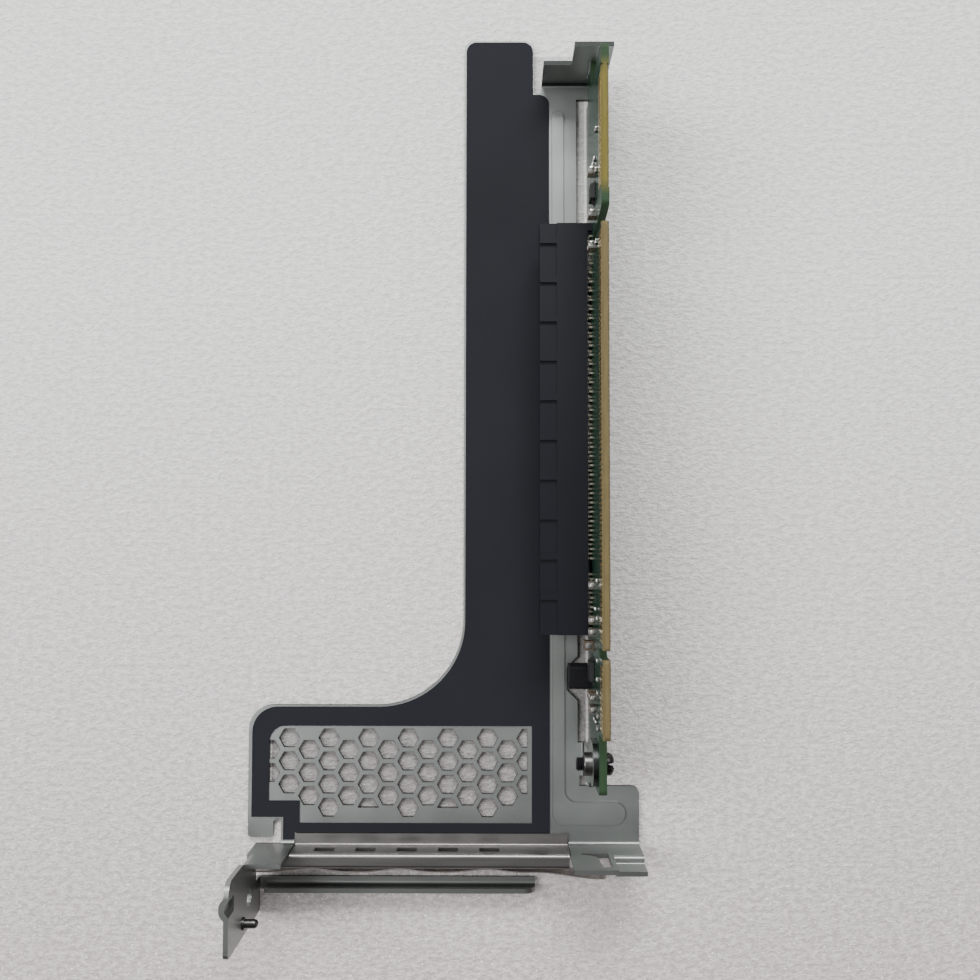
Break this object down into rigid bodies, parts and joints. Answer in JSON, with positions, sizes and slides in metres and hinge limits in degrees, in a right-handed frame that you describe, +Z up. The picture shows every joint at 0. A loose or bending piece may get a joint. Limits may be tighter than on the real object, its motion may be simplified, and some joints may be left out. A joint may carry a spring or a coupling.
{
  "type": "pcie riser card",
  "caption": "Riser card standing on edge in a folded sheet-metal cage with a vented, film-covered plate, a side-facing card slot and gold-finger tongues along its top.",
  "frame": {"origin": "corner where the board's component face, the board's rear end and the plane of the plate's underside meet", "axes": "+Y along the board towards the end flange, +X from the slot's mouth towards the board's back, +Z up from the plate towards the board's gold fingers"},
  "size_m": [0.0872, 0.1975, 0.0342],
  "materials": {
    "galvanised_steel": "zinc-coated sheet, satin, pale grey-green",
    "black_film": "fine-textured matte black film",
    "rail_steel": "zinc-coated strip, satin",
    "spring_steel": "bright tinned spring strip",
    "pin_steel": "turned, satin",
    "circuit_board": "green solder mask, glossy",
    "gold_plate": "polished gold plating",
    "slot_plastic": "moulded black plastic, fine grain",
    "contact_alloy": "plated contacts, polished",
    "black_screw": "black oxide, satin",
    "inductor_body": "pressed powder, matte dark grey",
    "chip_plastic": "moulded epoxy, matte",
    "ceramic_tan": "sintered ceramic, satin tan",
    "ceramic_dark": "dark glazed ceramic",
    "tantalum_body": "moulded brown epoxy"
  },
  "bodies": {
    "root": {"cage_sheet": "galvanised_steel", "insulation_film": "black_film", "gasket_rail": "rail_steel", "contact_spring": "spring_steel", "locating_pin": "pin_steel", "riser_board": "circuit_board", "edge_contacts_short": "gold_plate", "edge_contacts_long": "gold_plate", "edge_contacts_upper": "gold_plate", "slot_housing": "slot_plastic", "slot_contacts_near": "contact_alloy", "slot_contacts_far": "contact_alloy", "board_screw": "black_screw", "clinch_nut": "pin_steel", "power_inductor": "inductor_body", "regulator_chip": "chip_plastic", "buffer_chip": "chip_plastic", "ceramic_capacitors": "ceramic_tan", "chip_resistors": "ceramic_dark", "tantalum_capacitor": "tantalum_body"}
  },
  "joints": []
}
